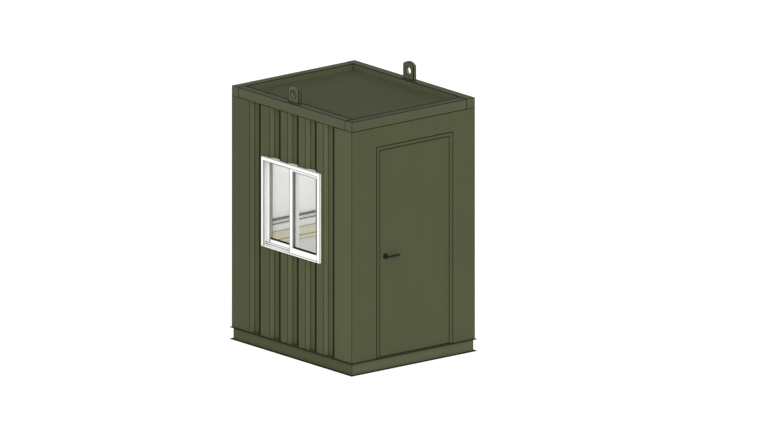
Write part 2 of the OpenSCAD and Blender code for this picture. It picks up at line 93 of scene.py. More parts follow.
class BoothFinish(bpy.types.PropertyGroup):
    """Colours of the booth's finishes."""
    olive: tone("Olive coat", (0.0735, 0.0780, 0.0402), "Coat of the front wall, door and base")
    groove: tone("Grooved wall coat", (0.0735, 0.0812, 0.0418), "Coat of the grooved walls")
    ring: tone("Ring coat", (0.0755, 0.0840, 0.0480), "Coat of the roof ring")
    roof: tone("Roof coat", (0.0605, 0.0665, 0.0350), "Weathered coat of the sunk roof sheet")
    primer: tone("Primer", (0.045, 0.050, 0.028), "Coat of the joists and hinges")
    line: tone("Edge dirt", (0.009, 0.010, 0.004), "Dirt that darkens edges and folds")
    plastic: tone("Window plastic", (0.95, 0.95, 0.91), "White window bars")
    # The plastic dirt colour is also the painted shadow between the sashes.
    plastic_dirt_and_shadow: tone("Plastic dirt", (0.06, 0.06, 0.05), "Dirt in the corners of the window bars")
    # The track colour is painted shade on the frame's reveals and in its outer track, laid on as a grey brush
    # strip.
    track: tone("Track brush", (0.46, 0.46, 0.44), "Grey brush strip inside the window frame")
    # The reveal colour is painted shade on the sashes' reveals and the pane gaskets.
    reveal: tone("Pane reveal", (0.50, 0.50, 0.48), "Grey glazing strip round a pane")
    board: tone("Lining", (0.72, 0.72, 0.72), "Wall lining and ceiling")
    floor: tone("Floor board", (0.42, 0.38, 0.31), "Sealed floor board")
    desk: tone("Desk board", (0.565, 0.51, 0.315), "Light wood laminate of the desk")
    desk_line: tone("Desk dirt", (0.05, 0.042, 0.022), "Dirt along the edges of the desk")
    # Also the colour of the painted shadow line under the trunking.
    dust_and_shadow: tone("Dust", (0.03, 0.03, 0.028), "Dust on the trunking and under it")
    trunking: tone("Trunking", (0.74, 0.74, 0.72), "White cable trunking")
    rubber: tone("Rubber", (0.010, 0.010, 0.010), "Seals of the door and the panes")
    black: tone("Black coat", (0.009, 0.010, 0.005), "Levers and roses")
    glass: tone("Glass", (0.93, 0.955, 0.95), "Tint of the panes")
    steel: tone("Screws", (0.46, 0.46, 0.45), "Plated screws")


class BoothTrim(bpy.types.PropertyGroup):
    """Sizes of the seals, welds and screws."""
    edge_line: length("Edge dirt width", 0.007, "Width of the dark line on each side of an edge")
    corner_line: length("Corner dirt width", 0.0035, "Width of the dark line at the corners of the walls")
    frame_line: length("Door frame dirt width", 0.0095, "Width of the dark line round the door frame")
    ring_line: length("Ring dirt width", 0.0070, "Width of the dark line on the roof ring's edges")
    top_line: length("Ring top dirt width", 0.032, "Width of the dark line on the roof ring's top")
    # Width of the painted shadow in the grooves of the window wall.
    groove_shadow: length("Groove dirt width", 0.016, "Width of the dirt on the lee side of a groove")
    plastic_edge: length("Plastic line width", 0.008, "Width of the dark line at the window bars' edges")
    gasket_w: length("Pane gasket", 0.010, "Width of the rubber round a pane")
    gasket_t: length("Gasket thickness", 0.004, "Thickness of the rubber on a pane")
    seal_w: length("Door seal", 0.012, "Width of the rubber behind the door frame's lip")
    seal_lip: length("Seal lip", 0.0025, "How far the door seal shows past the lip")
    sweep_h: length("Door sweep", 0.007, "Height of the rubber under the leaf")
    bead_r: length("Weld bead", 0.003, "Radius of a weld bead")
    bead_pitch: length("Weld ripple", 0.0034, "Distance from one ripple of a weld to the next")
    screw_r: length("Screw head", 0.0036, "Radius of a screw head")
    screw_t: length("Screw height", 0.0011, "Height of a screw head")


class BoothStage(bpy.types.PropertyGroup):
    """Camera, light and floor."""
    azimuth: number("Azimuth", math.radians(39.09), "Turn of the camera to the left of the door", "ANGLE")
    elevation: number("Elevation", math.radians(14.65), "Height angle of the camera", "ANGLE")
    width: length("View width", 7.264, "Width of the parallel view")
    distance: length("Camera distance", 14.0, "Distance of the camera from the middle of the view")
    target: FloatVectorProperty(name="Target", description="Middle of the view", subtype="TRANSLATION",
                                size=3, default=(0.2248, -0.1826, 1.2118))
    floor: tone("Floor", (0.30, 0.30, 0.30), "Pale studio floor")
    glow: number("Floor glow", 0.84, "Light that the studio floor gives")
    sky: number("Sky", 1.06, "Strength of the light from the horizon")
    zenith: number("Zenith", 0.72, "Strength of the light from straight above")
    key: number("Key", 1.1, "Strength of the soft key light")
    room: number("Room light", 12.3, "Power of the light under the ceiling", "POWER")
    fill: number("Low light", 9.0, "Power of the soft light low in the room", "POWER")
    middle: number("Middle light", 6.5, "Power of the soft light at the window's height", "POWER")


def finish_of():
    return bpy.context.scene.booth_finish


def trim_of():
    return bpy.context.scene.booth_trim


def stage_of():
    return bpy.context.scene.booth_stage


def whole_box(nodes):
    """Lowest and highest corner of several solids together."""
    boxes = [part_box(n) for n in nodes]
    low = Vector([min(b[0][i] for b in boxes) for i in range(3)])
    high = Vector([max(b[1][i] for b in boxes) for i in range(3)])
    return low, high


# Node materials.

class Finish:
    """A node material under way: a principled shader and the Object coordinates it reads."""

    def __init__(self, name, roughness, specular, metallic=0.0):
        self.material = bpy.data.materials.new(name)
        self.material.use_nodes = True
        self.tree = self.material.node_tree
        self.tree.nodes.clear()
        self.shader = self.add("ShaderNodeBsdfPrincipled")
        self.shader.inputs["Roughness"].default_value = roughness
        self.shader.inputs["Specular IOR Level"].default_value = specular
        self.shader.inputs["Metallic"].default_value = metallic
        out = self.add("ShaderNodeOutputMaterial")
        self.link(self.shader.outputs["BSDF"], out.inputs["Surface"])
        self.place = self.add("ShaderNodeTexCoord").outputs["Object"]
        self.split = None

    def add(self, kind, **settings):
        node = self.tree.nodes.new(kind)
        for key, value in settings.items():
            setattr(node, key, value)
        return node

    def link(self, source, socket):
        self.tree.links.new(source, socket)

    def feed(self, socket, value):
        """Links a socket or sets its value."""
        if isinstance(value, bpy.types.NodeSocket):
            self.link(value, socket)
        else:
            socket.default_value = value

    def math(self, operation, *values):
        node = self.add("ShaderNodeMath", operation=operation)
        for socket, value in zip(node.inputs, values):
            self.feed(socket, value)
        return node.outputs[0]

    def times(self, first, second):
        return self.math("MULTIPLY", first, second)

    def gap(self, value, place):
        """Distance of a value from a place."""
        return self.math("ABSOLUTE", self.math("SUBTRACT", value, place))

    def axis(self, number):
        """The Object coordinate along one axis."""
        if self.split is None:
            self.split = self.add("ShaderNodeSeparateXYZ")
            self.link(self.place, self.split.inputs[0])
        return self.split.outputs[number]

    def beyond(self, low, high, axis):
        """How far a point lies beyond the sides of a box that face along an axis."""
        middle, half = (low[axis] + high[axis]) / 2, (high[axis] - low[axis]) / 2
        return self.math("SUBTRACT", self.gap(self.axis(axis), middle), half)

    def noise(self, scale, detail=3.0, stretch=(1.0, 1.0, 1.0), roughness=0.5):
        """Noise from 0 to 1 at a scale per metre, drawn out along an axis by stretch."""
        mapping = self.add("ShaderNodeMapping")
        mapping.inputs["Scale"].default_value = stretch
        self.link(self.place, mapping.inputs["Vector"])
        node = self.add("ShaderNodeTexNoise")
        node.inputs["Scale"].default_value = scale
        node.inputs["Detail"].default_value = detail
        node.inputs["Roughness"].default_value = roughness
        self.link(mapping.outputs["Vector"], node.inputs["Vector"])
        return node.outputs["Fac"]

    def spread(self, value, low, high, start=0.3, end=0.7):
        """Maps a value from start and end to low and high."""
        node = self.add("ShaderNodeMapRange")
        for name, number in (("From Min", start), ("From Max", end), ("To Min", low), ("To Max", high)):
            node.inputs[name].default_value = number
        self.link(value, node.inputs["Value"])
        return node.outputs["Result"]

    def mix(self, share_of_second, first, second):
        """A colour between two colours."""
        node = self.add("ShaderNodeMix", data_type="RGBA")
        self.feed(node.inputs["Factor"], share_of_second)
        for name, colour in (("A", first), ("B", second)):
            socket = [s for s in node.inputs if s.name == name and s.type == "RGBA"][0]
            self.feed(socket, colour if isinstance(colour, bpy.types.NodeSocket) else (*colour, 1.0))
        return [s for s in node.outputs if s.type == "RGBA"][0]

    def lighten(self, colour, factor):
        """A colour times a varying factor."""
        node = self.add("ShaderNodeVectorMath", operation="SCALE")
        self.feed(node.inputs[0], colour if isinstance(colour, bpy.types.NodeSocket) else tuple(colour))
        self.feed(node.inputs["Scale"], factor)
        return node.outputs[0]

    def bump(self, height, depth, strength):
        """Bends the normal by a height of so many metres."""
        node = self.add("ShaderNodeBump")
        node.inputs["Strength"].default_value = strength
        node.inputs["Distance"].default_value = depth
        self.link(height, node.inputs["Height"])
        normal = self.shader.inputs["Normal"]
        if normal.is_linked:
            self.link(normal.links[0].from_socket, node.inputs["Normal"])
        self.link(node.outputs["Normal"], normal)

    def colour(self, value):
        self.link(value, self.shader.inputs["Base Color"])

    def two_tone(self, tint, factor, grain):
        """A colour that varies with a grain to that colour times a factor."""
        self.colour(self.mix(self.spread(grain, 0.0, 1.0), tuple(tint), tinted(tint, factor)))

    def roughness(self, value):
        self.link(value, self.shader.inputs["Roughness"])

    def roughen(self, scale, low, high):
        """Roughness that varies from low to high."""
        self.roughness(self.spread(self.noise(scale), low, high))

    def edges(self, low, high, width):
        """1 on a line of that width along the edges of a box, and 0 away from them."""
        past = [self.beyond(low, high, axis) for axis in range(3)]
        a, b, c = [self.math("ABSOLUTE", part) for part in past]
        inner = self.math("MINIMUM", self.math("MAXIMUM", a, b), c)
        middle = self.math("MAXIMUM", self.math("MINIMUM", a, b), inner)
        return near(self, self.strongest([middle, *past]), width, CORE * width)

    def strongest(self, lines):
        total = lines[0]
        for line in lines[1:]:
            total = self.math("MAXIMUM", total, line)
        return total


def near(paint, distance, width, start=None):
    """1 where a distance is under a start, falling to 0 at a width."""
    if start is None:
        start = max(CORE * width, width - SOFT)
    node = paint.add("ShaderNodeMapRange", interpolation_type="SMOOTHSTEP")
    paint.link(distance, node.inputs["Value"])
    node.inputs["From Min"].default_value = start
    node.inputs["From Max"].default_value = width
    node.inputs["To Min"].default_value = 1.0
    node.inputs["To Max"].default_value = 0.0
    return node.outputs["Result"]


def beyond_box(paint, low, high, axes):
    """Distance from the sides of a box that face along two axes."""
    return paint.math("ABSOLUTE", paint.strongest([paint.beyond(low, high, axis) for axis in axes]))


def at_plane(paint, axis, place, width):
    """1 near a plane across an axis."""
    return near(paint, paint.gap(paint.axis(axis), place), width)


def between(paint, axis, low, high):
    """1 from one place along an axis to another."""
    return at_plane(paint, axis, (low + high) / 2, (high - low) / 2)


def top_edges(paint, low, high, width):
    """1 on lines along the edges of a box's top."""
    rim = near(paint, beyond_box(paint, low, high, (0, 1)), width)
    skin = 0.004
    return paint.times(rim, at_plane(paint, 2, high.z, skin))


def fold_places(node, along):
    """Places of a grooved sheet's folds along its length, on the side that shows."""
    low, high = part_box(node)
    across = 1 - along
    outer = low[across] if abs(low[across]) > abs(high[across]) else high[across]
    inner = low[across] + high[across] - outer
    sheet, margin = 0.002, 1e-4
    found = set()
    for vertex in frame["nodes"][node].data.vertices:
        depth = abs(vertex.co[across] - outer)
        at_end = min(vertex.co[along] - low[along], high[along] - vertex.co[along]) < sheet + margin
        at_face = depth < margin
        at_bottom = abs(depth - abs(inner - outer) + sheet) < margin
        if (at_face or at_bottom) and not at_end:
            found.add(round(vertex.co[along], 4))
    window = [corner[along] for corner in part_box("window_frame")]
    folds = sorted(p for p in found if min(abs(p - edge) for edge in window) > sheet)
    return [folds[i:i + 4] for i in range(0, len(folds) - 3, 4)]


def least(paint, place, centres):
    """Distance from a place to the nearest of some centres."""
    nearest = paint.gap(place, centres[0])
    for centre in centres[1:]:
        nearest = paint.math("MINIMUM", nearest, paint.gap(place, centre))
    return nearest


def fold_lines(paint, node, along, shaded_side):
    """Lines along the folds of a grooved sheet. On the shaded side, painted shadow lies on the flat beside one
    slope and on the groove's bottom.
    """
    trim = trim_of()
    place = paint.axis(along)
    grooves = fold_places(node, along)
    if not shaded_side:
        every = [fold for groove in grooves for fold in groove]
        return paint.times(near(paint, least(paint, place, every), trim.edge_line), 0.6)
    # Painted shadow on the flat beside one slope and on the groove's bottom, and thin dirt lines on the other
    # folds.
    face, bed = 0.55 * trim.groove_shadow, 0.7 * trim.groove_shadow
    beside = near(paint, least(paint, place, [g[0] - 0.75 * face for g in grooves]), face)
    below = near(paint, least(paint, place, [g[1] + 1.2 * bed for g in grooves]), bed)
    thin = near(paint, least(paint, place, [fold for g in grooves for fold in g[2:]]), trim.edge_line)
    return paint.strongest([beside, below, paint.times(thin, 0.5)])


def lit_slopes(paint, node, along):
    """1 on one slope of each groove, which takes painted light."""
    grooves = fold_places(node, along)
    slopes = [(g[2] + g[3]) / 2 for g in grooves]
    half = (grooves[0][3] - grooves[0][2]) / 2
    return near(paint, least(paint, paint.axis(along), slopes), half)


def round_gap(paint, centre, radius):
    """Distance to a round wall along X, and the place along X from its middle."""
    x, y, z = [paint.math("SUBTRACT", paint.axis(i), centre[i]) for i in range(3)]
    squares = paint.math("ADD", paint.times(y, y), paint.times(z, z))
    return paint.gap(paint.math("SQRT", squares), radius), x


def round_line(paint, centre, radius, half, width):
    """1 on the rims of a round cut along X, at a radius, through a plate of half a thickness."""
    rim, x = round_gap(paint, centre, radius)
    face = paint.gap(paint.math("ABSOLUTE", x), half)
    return near(paint, paint.math("MAXIMUM", rim, face), width)


def coat(name, colour, boxes=(), extra=None, waves=0.0, roughness=0.6, line=None, painted_gradient=None, painted_light_and_shade=None):
    """Sprayed coat on steel: slight cloudiness, run-off streaks, fine orange peel and dark edges.

    extra gives more dark lines. The last argument gives places of painted light and painted shade and how much
    paler each is, and the one before it a painted light that changes along Y.
    """
    finish, trim = finish_of(), trim_of()
    paint = Finish(name, roughness, 0.03)
    cloud = paint.spread(paint.noise(1.6, 4.0), 0.97, 1.03)
    streak = paint.spread(paint.noise(26.0, 3.0, (1.0, 1.0, 0.03)), 0.985, 1.015)
    # Painted light: a tone that changes along Y, and places painted paler and darker.
    if painted_gradient is not None:
        cloud = paint.times(cloud, paint.spread(paint.axis(1), *painted_gradient))
    for mask, gain in painted_light_and_shade(paint) if painted_light_and_shade is not None else ():
        cloud = paint.times(cloud, paint.math("MULTIPLY_ADD", mask, gain, 1.0))
    body = paint.lighten(colour, paint.times(cloud, streak))
    lines = [paint.edges(low, high, line or trim.edge_line) for low, high in boxes]
    if extra is not None:
        lines += extra(paint)
    if lines:
        breakup = paint.spread(paint.noise(55.0, 4.0), 0.86, 1.0)
        body = paint.mix(paint.times(paint.strongest(lines), breakup), body, tuple(finish.line))
    paint.colour(body)
    paint.roughness(paint.spread(paint.noise(9.0, 5.0), roughness - 0.06, roughness + 0.08))
    paint.bump(paint.noise(420.0, 2.0), 0.0004, 0.25)
    if waves:
        paint.bump(paint.noise(2.3, 1.0), waves, 0.5)
    return paint.material


def dress(nodes, material):
    """Gives solids their material."""
    for name in [nodes] if isinstance(nodes, str) else nodes:
        solid = frame["nodes"][name]
        solid.data.materials.clear()
        solid.data.materials.append(material)


# Modelling steps.

def clear_selection():
    """Leaves edit mode and deselects everything."""
    if bpy.context.object is not None and bpy.context.object.mode != "OBJECT":
        bpy.ops.object.mode_set(mode="OBJECT")
    bpy.ops.object.select_all(action="DESELECT")


def make_active(piece):
    clear_selection()
    piece.select_set(True)
    bpy.context.view_layer.objects.active = piece


def new_block(name, low, high):
    """A block from corner to corner, with its place in its mesh."""
    clear_selection()
    low, high = Vector(low), Vector(high)
    bpy.ops.mesh.primitive_cube_add(size=1.0, location=(low + high) / 2, scale=high - low)
    block = bpy.context.object
    block.name = block.data.name = name
    bpy.ops.object.transform_apply(location=True, rotation=True, scale=True)
    return block


def pick_faces(piece, axis, both=False):
    """Enters edit mode with the faces that look along an axis selected."""
    make_active(piece)
    bpy.ops.object.mode_set(mode="EDIT")
    bpy.ops.mesh.select_mode(type="FACE")
    bpy.ops.mesh.select_all(action="DESELECT")
    bpy.ops.object.mode_set(mode="OBJECT")
    axis = Vector(axis)
    for face in piece.data.polygons:
        along = face.normal.dot(axis)
        face.select = along > 0.9 or (both and along < -0.9)
    bpy.ops.object.mode_set(mode="EDIT")


def leave_edit():
    bpy.ops.object.mode_set(mode="OBJECT")


def soften(piece, width, segments=2):
    """Rounds the edges of a piece."""
    make_active(piece)
    rounding = piece.modifiers.new("rounding", "BEVEL")
    rounding.width = width
    rounding.segments = segments
    rounding.limit_method = "ANGLE"
    bpy.ops.object.modifier_apply(modifier=rounding.name)
    bpy.ops.object.shade_smooth_by_angle(angle=math.radians(40))


def cut_through(piece, axis, width):
    """Opens a block along an axis and leaves a ring of that width."""
    pick_faces(piece, axis, both=True)
    bpy.ops.mesh.inset(thickness=width, depth=0.0)
    bpy.ops.mesh.bridge_edge_loops()
    bpy.ops.mesh.select_all(action="SELECT")
    bpy.ops.mesh.normals_make_consistent(inside=False)
    leave_edit()


def joined(pieces, name):
    """One piece from several."""
    clear_selection()
    for piece in pieces:
        piece.select_set(True)
    bpy.context.view_layer.objects.active = pieces[0]
    if len(pieces) > 1:
        bpy.ops.object.join()
    whole = bpy.context.object
    whole.name = whole.data.name = name
    return whole


def hand_over(piece, body, material):
    """Puts a piece on its body with its finish."""
    piece.data.materials.clear()
    piece.data.materials.append(material)
    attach(piece, body)


def bead(start, end, sink):
    """A weld bead of overlapping drops from one point to another, sunk a little into the steel."""
    trim = trim_of()
    start, end = Vector(start), Vector(end)
    run = end - start
    count = max(2, int(run.length / trim.bead_pitch))
    centre = start + Vector(sink)
    clear_selection()
    bpy.ops.mesh.primitive_uv_sphere_add(segments=8, ring_count=4, radius=trim.bead_r, location=centre)
    drop = bpy.context.object
    bpy.ops.object.transform_apply(location=True, rotation=True, scale=True)
    stretch = [1.0 + 0.5 * abs(part) for part in run.normalized()]
    bpy.ops.object.mode_set(mode="EDIT")
    bpy.ops.mesh.select_all(action="SELECT")
    bpy.ops.transform.resize(value=stretch, center_override=centre)
    leave_edit()
    row = drop.modifiers.new("row", "ARRAY")
    row.use_relative_offset = False
    row.use_constant_offset = True
    row.constant_offset_displace = run / count
    row.count = count + 1
    bpy.ops.object.modifier_apply(modifier=row.name)
    bpy.ops.object.shade_smooth()
    return drop


class BOOTH_OT_coat_shell(bpy.types.Operator):
    """Coats the base, walls, door and roof ring"""
    bl_idname = "booth.coat_shell"
    bl_label = "Coat the steel shell"

    def execute(self, context):
        coat_base()
        coat_ring()
        coat_walls()
        coat_front()
        coat_lugs()
        return {"FINISHED"}


def coat_base():
    """Coats the base beams, with dirt along the outer edges of their flanges, and the joists."""
    finish = finish_of()
    base = whole_box(BASE_BEAMS)
    bottom_rim, top_rim = 0.018, 0.010

    def rims(paint):
        return [flange_rim(paint, base, base[0].z, bottom_rim), flange_rim(paint, base, base[1].z, top_rim)]

    for name in BASE_BEAMS:
        # Painted light: the front and back beams are painted lighter, where their flanges shade them, and the
        # side beams a little darker.
        shade = 1.30 if name in ("front_base_beam", "back_base_beam") else 0.97
        dress(name, coat(f"coat_{name}", tinted(finish.olive, shade), [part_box(name)], rims))
    dress(["floor_joists", "frame_hinges", "leaf_hinges"], coat("coat_primer", finish.primer))


def coat_ring():
    """Coats the roof tubes, with painted light on their inner walls, painted shade on their tops and dirt
    along the inner edges of their tops.
    """
    finish, trim = finish_of(), trim_of()
    # How much painted light the inner walls take, and how much painted shade the tops take.
    pale, dull, skin = 0.32, -0.17, 0.003
    # The axis and the end of each tube's box where its inner wall lies, and how much painted shade and dirt
    # its top takes.
    inward = {"front_roof_tube": (1, 1, 1.0), "back_roof_tube": (1, 0, 0.4),
              "left_roof_tube": (0, 1, 1.0), "right_roof_tube": (0, 0, 0.4)}
    for name, (axis, end, dirt) in inward.items():
        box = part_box(name)
        wall, top = box[end][axis], box[1].z

        # Painted light on the inner wall and painted shade on the top.
        def inside(paint):
            return [(at_plane(paint, axis, wall, skin), pale), (at_plane(paint, 2, top, skin), dirt * dull)]

        def rims(paint):
            beside_wall = at_plane(paint, axis, wall, dirt * trim.top_line)
            return [paint.times(beside_wall, at_plane(paint, 2, top, 0.004))]

        dress(name, coat(f"coat_{name}", finish.ring, [box], rims, line=trim.ring_line, painted_light_and_shade=inside))
    dress("roof_tube_caps", coat("coat_caps", finish.ring))

    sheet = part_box("roof_sheet")
    border = 0.09

    # Painted light on a border round the roof sheet, where the ring shades it.
    def rim(paint):
        return [(near(paint, beyond_box(paint, *sheet, (0, 1)), border, 0.0), 0.26)]

    dress("roof_sheet", coat("coat_roof", finish.roof, roughness=0.7, painted_light_and_shade=rim))


def coat_walls():
    """Coats the grooved sheets, with dirt along their folds, painted shadow in the grooves of the window wall
    and painted light on one slope of each groove. The side walls are painted paler towards the front, a
    painted light.
    """
    finish, trim = finish_of(), trim_of()
    ripple = 0.002
    for name, along in (("window_wall_sheet", 1), ("blind_wall_sheet", 1), ("back_wall_sheet", 0)):
        def folds(paint):
            return [fold_lines(paint, name, along, name == "window_wall_sheet")]

        def slopes(paint):
            return [(lit_slopes(paint, name, along), 0.25)]

        # Painted light: the side walls are painted paler towards the front.
        painted_gradient = (1.08, 0.90, -0.9, 0.9) if along == 1 else None
        dress(name, coat(f"coat_{name}", finish.groove, [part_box(name)], folds, ripple, line=trim.corner_line,
                         painted_gradient=painted_gradient, painted_light_and_shade=slopes))


def coat_front():
    """Coats the front sheets, the door frame and the leaf."""
    trim = trim_of()
    olive = finish_of().olive
    ripple = 0.002
    leaf = ["leaf_pan", "leaf_back"]
    for name, nodes in (("coat_front_wall", FRONT_SHEETS), ("coat_leaf", leaf)):
        dress(nodes, coat(name, olive, [whole_box(nodes)], None, ripple, line=trim.corner_line))
    outer, inner = door_frame_boxes()

    def lip(paint):
        return [lip_line(paint, outer, inner)]

    dress(DOOR_FRAME, coat("coat_door_frame", olive, [outer], lip, line=trim.frame_line))


def coat_lugs():
    """Coats the lifting lugs, with dirt round their holes and along their tops, painted light on the walls of
    their holes, and both lugs painted lighter, the right one most.
    """
    # Painted light: both lugs are painted lighter, the right one most where the roof ring shades it, and the
    # walls of their holes paler.
    for name, shade in (("left_lug", 1.06), ("right_lug", 1.36)):
        def rims(paint):
            return lug_rims(paint, name)

        def bore(paint):
            return [(lug_bore(paint, name), 0.9)]

        dress(name, coat(f"coat_{name}", tinted(finish_of().ring, shade), [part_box(name)], rims,
                         line=1.3 * trim_of().edge_line, painted_light_and_shade=bore))


def tinted(colour, share):
    """A colour, all of it lighter or darker."""
    return [share * part for part in colour]


def flange_rim(paint, base, height, width):
    """1 on the outer edge of the base's flange at a height."""
    rim = near(paint, beyond_box(paint, *base, (0, 1)), width)
    thick = 0.016
    return paint.times(rim, at_plane(paint, 2, height, thick))


def door_frame_boxes():
    """The outside of the door frame, and the opening between its lips."""
    low, high = whole_box(DOOR_FRAME)
    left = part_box("left_jamb")
    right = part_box("hinge_jamb")
    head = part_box("door_head")
    opening = (Vector((left[1].x, low.y, low.z)), Vector((right[0].x, high.y, head[0].z)))
    return (low, high), opening


def lip_line(paint, outer, inner):
    """A dark line along the lip of the door frame, which the seal makes on the hinge side."""
    line = paint.edges(inner[0], inner[1] + Vector((FAR, 0, 0)), trim_of().frame_line)
    return paint.times(line, between(paint, 0, outer[0].x, inner[1].x))


def lug_hole(name):
    """Middle and radius of a lug's hole."""
    mounts = {m["name"]: m for m in frame["record"]["mounts"]}
    hole = mounts[f"{name}_hole"]
    return Vector(hole["pos_m"]), hole["dims"]["r_mm"] / 1000


def lug_bore(paint, name):
    """1 on the wall of a lug's hole."""
    return near(paint, round_gap(paint, *lug_hole(name))[0], 0.002)


def lug_rims(paint, name):
    """Dark rims of a lug's hole and arched top."""
    trim = trim_of()
    low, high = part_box(name)
    middle = (low + high) / 2
    half = (high.x - low.x) / 2
    hole, hole_r = lug_hole(name)
    arch_r = 0.112
    arch = Vector((middle.x, middle.y, high.z - arch_r))
    return [round_line(paint, hole, hole_r, half, trim.edge_line),
            round_line(paint, arch, arch_r, half, trim.edge_line)]


def lining_board(name, strip=None):
    """Pale wall board, with painted light from one height to another and a painted shadow line just under the
    top of that band.
    """
    board = Finish(name, 0.55, 0.3)
    shade = board.lighten(finish_of().board, board.spread(board.noise(2.2, 4.0), 0.97, 1.02))
    # Painted light on the band, and a painted shadow line under the trunking at its top.
    if strip is not None:
        white = between(board, 2, *strip)
        shade = board.lighten(shade, board.math("MULTIPLY_ADD", white, 0.18, 1.0))
        dust_and_shadow = 0.0078
        line = at_plane(board, 2, strip[1] - 1.65 * dust_and_shadow, dust_and_shadow)
        shade = board.mix(line, shade, tuple(finish_of().dust_and_shadow))
    board.colour(shade)
    board.roughen(14.0, 0.48, 0.62)
    board.bump(board.noise(240.0, 3.0), 0.0003, 0.2)
    return board.material


class BOOTH_OT_finish_room(bpy.types.Operator):
    """Finishes the linings, ceiling, floor, desk and trunking"""
    bl_idname = "booth.finish_room"
    bl_label = "Finish the room"

    def execute(self, context):
        finish = finish_of()
        dress(LININGS + ["ceiling"], lining_board("lining_board"))
        # The back wall takes painted light from the desk's top up to the trunking, and a painted shadow line
        # under the trunking.
        strip = (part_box("desk_top")[1].z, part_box("cable_trunking")[0].z)
        dress("back_wall_lining", lining_board("lining_board_back", strip))

        floor = Finish("floor_sealed", 0.5, 0.35)
        grain = floor.noise(9.0, 6.0, (1.0, 0.08, 1.0), 0.6)
        floor.two_tone(finish.floor, 0.72, grain)
        floor.roughness(floor.spread(grain, 0.42, 0.6))
        floor.bump(grain, 0.0004, 0.3)
        dress("floor_board", floor.material)

        desk = Finish("desk_laminate", 0.42, 0.4)
        fibre = desk.noise(70.0, 5.0, (0.04, 1.0, 1.0), 0.6)
        wood = desk.mix(desk.spread(fibre, 0.0, 1.0), tuple(finish.desk), tinted(finish.desk, 0.82))
        low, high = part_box("desk_top")
        edge, top_edge, front = 0.008, 0.020, 0.040
        rims = desk.math("MAXIMUM", desk.edges(low, high, edge), top_edges(desk, low, high, top_edge))
        worn = desk.math("MULTIPLY_ADD", at_plane(desk, 1, low.y, front), -0.2, 1.0)
        desk.colour(desk.mix(desk.times(rims, worn), wood, tuple(finish.desk_line)))
        desk.roughness(desk.spread(fibre, 0.36, 0.5))
        desk.bump(fibre, 0.0002, 0.3)
        dress("desk_top", desk.material)

        trunking = Finish("trunking_plastic", 0.45, 0.4)
        low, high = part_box("cable_trunking")
        lid_edge = Vector((0, 0, 0.207 * (high.z - low.z)))
        seam_w, rim_w, top_w = 0.005, 0.007, 0.024
        seam = trunking.times(trunking.edges(low + lid_edge, high - lid_edge, seam_w), 0.55)
        rims = trunking.edges(low - Vector((0, 0, FAR)), high, rim_w)
        lines = trunking.strongest([rims, seam, at_plane(trunking, 2, high.z, top_w)])
        shade = trunking.lighten(finish.trunking, trunking.spread(trunking.noise(6.0), 0.97, 1.02))
        trunking.colour(trunking.mix(lines, shade, tuple(finish.dust_and_shadow)))
        trunking.roughen(30.0, 0.4, 0.5)
        dress("cable_trunking", trunking.material)
        return {"FINISHED"}


class BOOTH_OT_finish_window(bpy.types.Operator):
    """Finishes the window's bars and panes"""
    bl_idname = "booth.finish_window"
    bl_label = "Finish the window"

    def execute(self, context):
        finish = finish_of()
        edge = trim_of().plastic_edge
        beside, below = Vector((0, FAR, 0)), Vector((0, 0, FAR))
        low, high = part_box("window_frame")
        face, sill, rib = 0.036, 0.013, low.x + 0.052
        rise, step, drop = 0.036, 0.018, 0.023
        opening = (low + Vector((0, face, sill)), high - Vector((0, face, face)))
        lines = [(low, high, 0.35 * edge), (*opening, 0.35 * edge), (opening[0] - below, opening[1], edge)]
        for up in (rise, step):
            inner_track = (Vector((rib, low.y, low.z + up)) - beside, high + beside - Vector((0, 0, drop)))
            lines.append((*inner_track, 0.5 * edge))
        # The frame's reveals and outer track take the track colour, painted shade.
        dress("window_frame", bars("window_frame_plastic", lines, opening, finish.track, rib=rib))
        for sash, pane in zip(SASHES, PANES):
            low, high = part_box(sash)
            glass_low, glass_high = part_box(pane)
            light = glass_low + PANE_BITE, glass_high - PANE_BITE
            light[0].x, light[1].x = low.x, high.x
            if sash == "outer_sash":
                lines = [(low, high, edge), (*light, 0.6 * edge)]
                # Painted shadow in the gap between the sashes; the strip is painted shade on the reveal.
                shadow_lines = {"back": high.x - 0.0095, "side": 1.9 * edge}
                strip = finish.reveal
            else:
                lines = [(low - beside, high, edge), (*light, 0.3 * edge),
                         (light[0] - beside - below, light[1], 0.9 * edge)]
                # Painted shadow on the side of the inner sash's opening.
                shadow_lines = {"side": 0.0005}
                # The inner sash's reveal takes darker painted shade.
                strip = tinted(finish.reveal, 0.62)
            dress(sash, bars(f"{sash}_plastic", lines, light, strip, **shadow_lines))

        glass = Finish("pane_glass", 0.0, 0.5)
        glass.shader.inputs["Base Color"].default_value = (*finish.glass, 1.0)
        glass.shader.inputs["Transmission Weight"].default_value = 1.0
        glass.shader.inputs["IOR"].default_value = 1.45
        glass.roughness(glass.spread(glass.noise(3.0, 4.0), 0.0, 0.03, 0.45, 0.8))
        dress(PANES, glass.material)
        return {"FINISHED"}


def jamb_bands(paint, low, high, rib):
    """1 on the painted shade in the jambs' outer track, laid on as a grey brush strip, and a faint line along
    the rib.
    """
    floor_in, floor_w, track_w = 0.008, 0.004, 0.044
    jamb_in, jamb_w, rib_w = 0.025, 0.018, 0.003
    half = (high.y - low.y) / 2
    aside = paint.gap(paint.axis(1), (low.y + high.y) / 2)
    track_floor = near(paint, paint.gap(aside, half - floor_in), floor_w)
    strip = paint.times(track_floor, between(paint, 0, low.x, low.x + track_w))
    jamb = near(paint, paint.gap(aside, half - jamb_in), jamb_w)
    line = paint.times(at_plane(paint, 0, rib, rib_w), 0.3)
    return paint.math("MAXIMUM", strip, paint.times(jamb, line))


